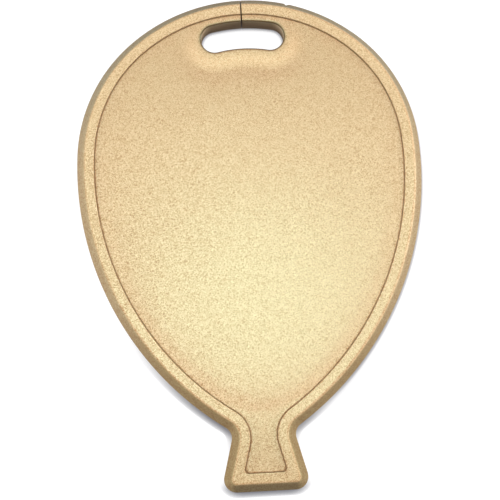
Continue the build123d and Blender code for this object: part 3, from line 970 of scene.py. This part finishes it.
def gold_paint(g):
    """Satin metallic gold: fine flakes, each a little turned and of its own tone, with painted highlights and
    painted shade.
    """
    paint = bpy.context.scene.balloon_weight.paint
    place = g.place()
    along = g.axis(place, "Y")
    cells = {"Vector": place, "Scale": 1 / paint.flake}
    flake = g.add("ShaderNodeTexVoronoi", {"feature": "F1"}, cells, "Color")
    shade = g.add("ShaderNodeSeparateColor", sockets={"Color": flake}, output="Red")
    chance = g.add("ShaderNodeSeparateColor", sockets={"Color": flake}, output="Green")
    line, lip, bare, sloping, under, over, rim, field, band = (
        g.add("ShaderNodeAttribute", {"attribute_name": name}, output="Fac") for name in KEPT_FOR_PAINT
    )
    clouds = g.ease(g.noise(place, CLOUD_SCALE, CLOUD_DETAIL), *CLOUDS)
    evened = clouds * CLOUD_EVENS + g.ease(along, *CROWN_EVEN) * CROWN_EVENS
    on_flank = g.ease(along, *BAND_START) * (1 - g.ease(along, *BAND_END))
    layers = (
        (g.ease(shade, *DARK_FLAKES), paint.gold, "MIX"),
        (g.ease(shade, *PALE_FLAKES), paint.pale_flake, "MIX"),
        (evened, paint.gold, "MIX"),
        # Painted highlight under the slot.
        (under, paint.slot_painted_highlight, "ADD"),
        # Painted shade over the slot.
        (over, paint.slot_painted_shade, "MULTIPLY"),
        # Painted highlight on the rim.
        (rim, paint.rim_painted_highlight, "ADD"),
        # Painted light inside the line, on the flanks.
        (band * on_flank, paint.band_painted_light, "ADD"),
        # Painted shade towards the crown.
        (field * g.ease(along, *CROWN_DULL), paint.crown_painted_shade, "MULTIPLY"),
        # Painted shade on the tail.
        (g.ease(along, *TAIL_DULL), paint.tail_painted_shade, "MULTIPLY"),
        # Painted shade in the fine line and along the slot's lip.
        (g.math("MAXIMUM", line * LINE_COVER, lip * LIP_COVER), paint.line_and_lip_painted_shade, "MIX"),
        # Thin paint and painted shade on the sloping edge.
        (sloping, paint.edge_thin_paint_and_shade, "MULTIPLY"),
        # Painted shade on the sloping edge towards the crown.
        (sloping * g.ease(along, *CROWN_END), paint.crown_edge_painted_shade, "MULTIPLY"),
        # Painted shade on the sloping edge towards the tail.
        (sloping * g.ease(along, *TAIL_END), paint.tail_edge_painted_shade, "MULTIPLY"),
        # Thin paint and painted shade on the walls of slot and slit.
        (bare, paint.wall_thin_paint_and_shade, "MIX"),
    )
    coloured = rgba(paint.dark_flake)
    for factor, tone, kind in layers:
        coloured = g.blend(factor, coloured, rgba(tone), kind)
    tilt = g.vector("MULTIPLY_ADD", flake, [FLAKE_TILT] * 3, [-FLAKE_TILT / 2] * 3)
    flat = g.add("ShaderNodeNewGeometry", output="Normal")
    facing = g.vector("NORMALIZE", g.vector("ADD", flat, tilt))
    peel = g.noise(place, PEEL_SCALE, PEEL_DETAIL)
    uneven = {"Height": peel, "Strength": PEEL_STRENGTH, "Distance": PEEL_DEPTH, "Normal": facing}
    smoothest = paint.roughness - FLAKE_ROUGHNESS / 2
    painted = smoothest + chance * FLAKE_ROUGHNESS + sloping * EDGE_ROUGHNESS
    return {
        "Base Color": coloured,
        "Roughness": (1 - bare) * painted + bare * BARE_ROUGHNESS,
        "Specular IOR Level": PAINT_SPECULAR,
        "Specular Tint": rgba(paint.sheen),
        "Normal": g.add("ShaderNodeBump", sockets=uneven),
    }


STREAK_STRETCH = (3000.0, 60.0, 300.0)
STREAK_DETAIL, BLOOM_DETAIL = 4.0, 5.0
BLOOM_SCALE = 160.0
STREAK_SHARE, BLOOM_SHARE = 0.6, 0.4
STEEL_TONES = (0.3, 0.7)
STEEL_DULL = 0.6
STEEL_ROUGHNESS, BLOOM_ROUGHNESS = 0.3, 0.25
STREAK_STRENGTH, STREAK_DEPTH = 0.2, 0.02 * MM


def plain_steel(g):
    """Sheet steel as rolled: fine streaks along the plate and a dull bloom."""
    paint = bpy.context.scene.balloon_weight.paint
    place = g.place()
    stretched = g.add("ShaderNodeMapping", sockets={"Vector": place, "Scale": STREAK_STRETCH})
    streak = g.noise(stretched, 1.0, STREAK_DETAIL)
    bloom = g.noise(place, BLOOM_SCALE, BLOOM_DETAIL)
    tone = g.ease(streak * STREAK_SHARE + bloom * BLOOM_SHARE, *STEEL_TONES)
    dull = rgba([STEEL_DULL * c for c in paint.steel])
    rolled = {"Height": streak, "Strength": STREAK_STRENGTH, "Distance": STREAK_DEPTH}
    return {
        "Base Color": g.blend(tone, dull, rgba(paint.steel)),
        "Roughness": STEEL_ROUGHNESS + bloom * BLOOM_ROUGHNESS,
        "Metallic": 1.0,
        "Normal": g.add("ShaderNodeBump", sockets=rolled),
    }


def half_levels(outwards):
    """Heights of the inner side of one half, in the part's frame."""
    inside = bpy.context.scene.balloon_weight.inside
    seam = FRONT_BOX[0].z
    room = inside.clearance if outwards > 0 else 0.0
    return {
        "outwards": outwards,
        "seam": seam,
        "height": FRONT_BOX[1].z - seam if outwards > 0 else seam - BACK_BOX[0].z,
        "joint": seam + inside.tongue_height + room,
        "peg": seam + inside.peg_height + room,
        "pocket": inside.pocket_roof if outwards > 0 else inside.pocket_floor,
    }


class WEIGHT_OT_front_half(bpy.types.Operator):
    """Build the half with the face: rim, fine line, cushioned field and slot."""

    bl_idname = "balloon_weight.front_half"
    bl_label = "Front half"

    def execute(self, context):
        sizes = context.scene.balloon_weight
        levels = half_levels(1.0)
        slit = sizes.slot.slit_width, sizes.slot.slit_width
        build_half("moulded_front", "front_shell", sizes.inside.clearance, slit, levels, {})
        return {"FINISHED"}


class WEIGHT_OT_back_half(bpy.types.Operator):
    """Build the half that it lies on, with its plain recess."""

    bl_idname = "balloon_weight.back_half"
    bl_label = "Back half"

    def execute(self, context):
        sizes = context.scene.balloon_weight
        levels = half_levels(-1.0)
        slit = sizes.slot.slit_mouth, sizes.slot.slit_foot
        changes = {"Step depth": sizes.section.back_recess}
        changes.update(dict.fromkeys(["Line depth", "Cushion rise", "Collar rise", "Slot dip"], 0.0))
        build_half("moulded_back", "back_shell", 0.0, slit, levels, changes)
        return {"FINISHED"}


class WEIGHT_OT_ballast(bpy.types.Operator):
    """Give the ballast plate its plain steel."""

    bl_idname = "balloon_weight.ballast"
    bl_label = "Ballast plate"

    def execute(self, context):
        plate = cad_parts["ballast_plate"]
        plate.data.materials.clear()
        plate.data.materials.append(filled_material("rolled_steel", plain_steel))
        return {"FINISHED"}


FLOOR_REACH = 4.0
FLOOR_CORNERS = ((-1, -1), (1, -1), (1, 1), (-1, 1))
FLOOR_ROUGHNESS = 0.9
SHADE_SAMPLES = 16
UPWARDS = Vector((0.0, 0.0, 1.0))
TAIL_SHADE_FROM = Vector((0.12, 0.9, 0.42)).normalized()
SIDE_SHADE_FROM = Vector((-0.9, 0.1, 0.42)).normalized()
# Places where the floor's shade starts or ends, and where that change is complete: SIDE across, others along.
FLANK_SHADE = (-11.0 * MM, -28.0 * MM)
FLANK_SHADE_END = (-29.0 * MM, -33.0 * MM)
TAIL_SHADE = (-36.0 * MM, -38.0 * MM)
SIDE = (6.0 * MM, 12.0 * MM)
SIDE_SHADE = (34.0 * MM, 22.0 * MM)
SIDE_SHADE_END = (-20.0 * MM, -30.0 * MM)
SIDE_LOSS = 0.55
SKY_RISE = (-0.2, 1.0)
KEY_PLACE = Vector((9.0, 27.0, 550.0)) * MM
BACK_PLACE = Vector((9.0, 93.0, 550.0)) * MM
SIDE_REACH = 550.0 * MM
SIDE_RISE = 110.0 * MM
RIM_REACH = 390.0 * MM
RIM_BACK = -60.0 * MM
RIM_RISE = 390.0 * MM
CAMERA_AIM = Vector((-0.61, -1.60, 5.0)) * MM
CAMERA_PLACE = Vector((-3.48, -26.63, 228.58)) * MM
IMAGE_UP = Vector((0.054, 0.9985, 0.0))
SENSOR_WIDTH = 36.0
CLIP_START = 0.01


def add_lamp(name, power, size, place):
    """A soft white lamp that faces the weight."""
    data = bpy.data.lights.new(name, "AREA")
    data.energy = power
    data.shape = "RECTANGLE"
    data.size, data.size_y = size
    lamp = new_object(name, data)
    lamp.location = place
    lamp.rotation_euler = (-Vector(place)).to_track_quat("-Z", "Y").to_euler()


def white_floor(g):
    """A dull grey that adds white for the camera, and less of it close to the weight, as a painted shadow."""
    studio = bpy.context.scene.balloon_weight.studio
    rays = "Is Camera Ray", "Is Glossy Ray", "Is Transmission Ray"
    camera, glossy, passing = (g.add("ShaderNodeLightPath", output=name) for name in rays)
    seen = g.math("MAXIMUM", g.math("MAXIMUM", camera, glossy), passing)

    def light_past(distance, way):
        """How much light from that way gets past what stands that near."""
        look = {"Distance": distance, "Normal": g.add("ShaderNodeCombineXYZ", sockets=dict(enumerate(way)))}
        return g.add("ShaderNodeAmbientOcclusion", {"samples": SHADE_SAMPLES}, look, "AO")

    place = g.place()
    across, along = g.axis(place, "X"), g.axis(place, "Y")
    right = g.ease(across, *SIDE)
    by_flank = g.ease(along, *FLANK_SHADE) * (1 - g.ease(along, *FLANK_SHADE_END)) * (1 - right * SIDE_LOSS)
    by_tail = by_flank + g.ease(along, *TAIL_SHADE)
    by_side = right * g.ease(along, *SIDE_SHADE) * (1 - g.ease(along, *SIDE_SHADE_END))
    # Painted shadow: near the slot's walls, beside the tail and on the right, AO takes white out of the
    # floor's glow.
    near = light_past(studio.floor_shade, UPWARDS)
    openness = near * near
    edges = (by_tail, studio.edge_shade, TAIL_SHADE_FROM), (by_side, studio.side_shade, SIDE_SHADE_FROM)
    for weight, distance, way in edges:
        beside = light_past(distance, way)
        openness = openness * (1 - weight * (1 - beside * beside * beside))
    glow = [studio.floor_glow] * 3
    return {
        "Base Color": rgba(studio.floor),
        "Roughness": FLOOR_ROUGHNESS,
        "Specular IOR Level": 0.0,
        "Emission Strength": 1.0,
        "Emission Color": g.blend(seen * openness, rgba(studio.shade), rgba(glow)),
    }


def add_floor():
    """The floor that the weight lies on. It shows white to the camera, with a painted shadow close to the
    weight.
    """
    data = bpy.data.meshes.new("floor")
    corners = [(x * FLOOR_REACH, y * FLOOR_REACH, 0.0) for x, y in FLOOR_CORNERS]
    data.from_pydata(corners, [], [range(len(corners))])
    data.materials.append(filled_material("studio_floor", white_floor))
    floor = new_object("floor", data)


def add_world(studio):
    """A plain soft sky, brighter overhead than at the horizon."""
    world = bpy.data.worlds.new("studio")
    world.use_nodes = True
    bpy.context.scene.world = world
    g = Graph(world.node_tree)
    rise = g.axis(g.add("ShaderNodeTexCoord", output="Generated"), "Z")
    tone = g.blend(g.ease(rise, *SKY_RISE), rgba([0.0] * 3), rgba([1.0] * 3))
    g.fill(g.node("BACKGROUND"), {"Color": tone, "Strength": studio.sky})


def add_camera(studio):
    """The camera, at the photograph's viewing angle."""
    data = bpy.data.cameras.new("camera")
    data.lens = studio.lens
    data.sensor_width = SENSOR_WIDTH
    data.clip_start = CLIP_START
    camera = new_object("camera", data)
    back = (CAMERA_PLACE - CAMERA_AIM).normalized()
    right = IMAGE_UP.cross(back).normalized()
    up = back.cross(right)
    turn = Matrix((right, up, back)).transposed().to_4x4()
    camera.matrix_world = Matrix.Translation(CAMERA_AIM + back * studio.camera_distance) @ turn
    bpy.context.scene.camera = camera


class WEIGHT_OT_studio(bpy.types.Operator):
    """Build the floor, the soft light and the camera."""

    bl_idname = "balloon_weight.studio"
    bl_label = "Studio"

    def execute(self, context):
        studio = context.scene.balloon_weight.studio
        add_floor()
        add_world(studio)
        add_lamp("overhead_key", studio.key_power, [studio.key_size] * 2, KEY_PLACE)
        add_lamp("wide_back", studio.back_power, (studio.back_width, studio.back_depth), BACK_PLACE)
        side = studio.side_width, studio.side_height
        add_lamp("left_low", studio.left_power, side, (-SIDE_REACH, 0.0, SIDE_RISE))
        add_lamp("right_low", studio.right_power, side, (SIDE_REACH, 0.0, SIDE_RISE))
        add_lamp("left_high", studio.rim_power, [studio.rim_size] * 2, (-RIM_REACH, RIM_BACK, RIM_RISE))
        add_lamp("right_high", studio.rim_power, [studio.rim_size] * 2, (RIM_REACH, RIM_BACK, RIM_RISE))
        add_camera(studio)
        context.scene.view_settings.view_transform = "Standard"
        return {"FINISHED"}


class WEIGHT_PT_panel(bpy.types.Panel):
    """Lists the weight's pieces and settings."""

    bl_idname = "WEIGHT_PT_panel"
    bl_label = "Balloon weight"
    bl_space_type = "VIEW_3D"
    bl_region_type = "UI"
    bl_category = "Balloon weight"

    def draw(self, context):
        layout = self.layout
        for operator in OPERATORS:
            layout.operator(operator.bl_idname)
        settings = context.scene.balloon_weight
        for name in BalloonWeight.__annotations__:
            group = getattr(settings, name)
            box = layout.box()
            for key in type(group).__annotations__:
                box.prop(group, key)


OPERATORS = (WEIGHT_OT_front_half, WEIGHT_OT_back_half, WEIGHT_OT_ballast, WEIGHT_OT_studio)
GROUPS = (OutlineSizes, SectionSizes, SlotSizes, InsideSizes, PaintFinish, StudioSetup, BalloonWeight)
CLASSES = (*GROUPS, *OPERATORS, WEIGHT_PT_panel)


def register():
    """Adds the add-on's classes and settings."""
    for cls in CLASSES:
        bpy.utils.register_class(cls)
    bpy.types.Scene.balloon_weight = bpy.props.PointerProperty(type=BalloonWeight)


def unregister():
    """Removes them again."""
    del bpy.types.Scene.balloon_weight
    for cls in reversed(CLASSES):
        bpy.utils.unregister_class(cls)


def main():
    """Builds the weight and its studio."""
    register()
    bpy.ops.balloon_weight.front_half()
    bpy.ops.balloon_weight.back_half()
    bpy.ops.balloon_weight.ballast()
    bpy.ops.balloon_weight.studio()


if __name__ == "__main__":
    main()
